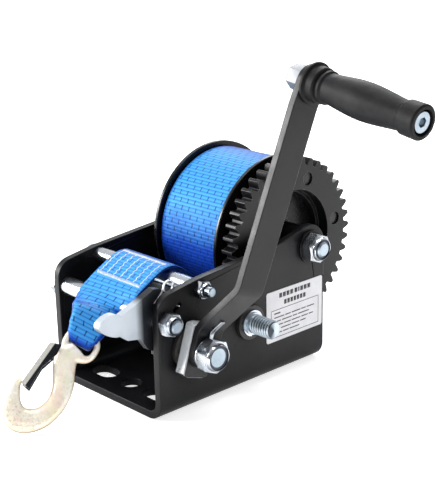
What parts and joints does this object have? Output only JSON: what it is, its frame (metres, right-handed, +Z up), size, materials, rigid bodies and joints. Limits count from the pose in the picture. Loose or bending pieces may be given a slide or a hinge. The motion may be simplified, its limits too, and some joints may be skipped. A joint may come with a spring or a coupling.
{
  "type": "boat trailer winch",
  "caption": "Hand winch with a folded steel frame, geared strap drum, joggled crank with a rolling grip, two-way pawl and a snap hook on blue webbing.",
  "frame": {"origin": "centre of the underside of the base plate", "axes": "+Z up, +X towards the crank side, -Y towards the hook"},
  "size_m": [0.2365, 0.2575, 0.2075],
  "materials": {
    "powder_coat": "satin black powder coat",
    "arm_coat": "satin black powder coat with lighter worn edges",
    "drum_coat": "semi-gloss black",
    "gear_steel": "dark greased steel",
    "zinc": "bright zinc plate",
    "latch_zinc": "bright zinc plate",
    "yellow_zinc": "yellow passivated zinc",
    "bush": "dark oil-filled sintered bronze",
    "webbing": "woven polyester webbing",
    "grip_plastic": "fine matte moulding",
    "label": "satin silver sticker"
  },
  "bodies": {
    "root": {"frame": "powder_coat", "label_plate": "label", "front_tie_bolt": "zinc", "front_tie_nut": "zinc", "front_tie_spacer": "zinc", "rear_tie_bolt": "zinc", "rear_tie_nut": "zinc", "rear_tie_spacer": "zinc", "pawl_washers": "zinc", "drum_axle_bolt": "zinc", "drum_axle_nut": "zinc", "drum_axle_washers": "zinc", "drum_axle_spacers": "drum_coat", "countershaft_bushes": "bush", "crank_shaft_bushes": "bush", "strap_tail": "webbing", "pawl_spring": "zinc"},
    "drum": {"drum_core": "drum_coat", "drum_bushes": "bush", "drum_left_flange": "drum_coat", "drum_right_flange": "drum_coat", "drum_gear": "drum_coat", "gear_rivets": "zinc", "strap_anchor_bolt": "zinc", "strap_anchor_nut": "zinc", "strap_roll": "webbing"},
    "countershaft": {"countershaft": "zinc", "countershaft_pinion": "gear_steel", "middle_gear": "gear_steel", "countershaft_circlips": "zinc"},
    "crank": {"crank_shaft": "zinc", "crank_pinion": "gear_steel", "crank_shaft_circlip": "zinc", "crank_hub": "zinc", "crank_arm": "arm_coat", "tab_washer": "zinc", "crank_nut": "zinc", "grip_bolt": "zinc", "grip_nut": "zinc"},
    "grip": {"grip": "grip_plastic"},
    "pawl": {"pawl": "zinc"},
    "hook": {"hook_body": "yellow_zinc", "latch_rivet": "zinc", "latch_spring": "zinc"},
    "latch": {"hook_latch": "latch_zinc"}
  },
  "joints": [
    {"name": "drum_spin", "type": "hinge", "parent": "root", "child": "drum", "pos_m": [0, 0.0566, 0.0798], "axis": [1, 0, 0], "continuous": true},
    {"name": "countershaft_spin", "type": "hinge", "parent": "root", "child": "countershaft", "pos_m": [0, 0.00288, 0.04356], "axis": [1, 0, 0], "continuous": true},
    {"name": "crank_spin", "type": "hinge", "parent": "root", "child": "crank", "pos_m": [0, -0.04665, 0.04183], "axis": [1, 0, 0], "continuous": true},
    {"name": "grip_spin", "type": "hinge", "parent": "crank", "child": "grip", "pos_m": [0.10007, 0.00484, 0.19572], "axis": [0.989, -0.0469, -0.1402], "continuous": true},
    {"name": "pawl_swing", "type": "hinge", "parent": "root", "child": "pawl", "pos_m": [0.04, -0.0633, 0.061], "axis": [1, 0, 0], "range_deg": [-7, 7], "deforming": ["pawl_spring"]},
    {"name": "hook_swing", "type": "hinge", "parent": "root", "child": "hook", "pos_m": [0.00419, -0.08671, 0.04826], "axis": [-0.702, -0.5296, 0.4761], "range_deg": [0, 40]},
    {"name": "latch_swing", "type": "hinge", "parent": "hook", "child": "latch", "pos_m": [-0.00313, -0.10506, 0.04227], "axis": [0.7091, -0.4579, 0.5362], "range_deg": [0, 22], "stiffness_Nm_per_rad": 0.02, "springref_deg": -20.05, "deforming": ["latch_spring"]}
  ],
  "couplings": [
    {"joint": "countershaft_spin", "follows": "drum_spin", "ratio": -4.1},
    {"joint": "crank_spin", "follows": "drum_spin", "ratio": 8.2}
  ]
}
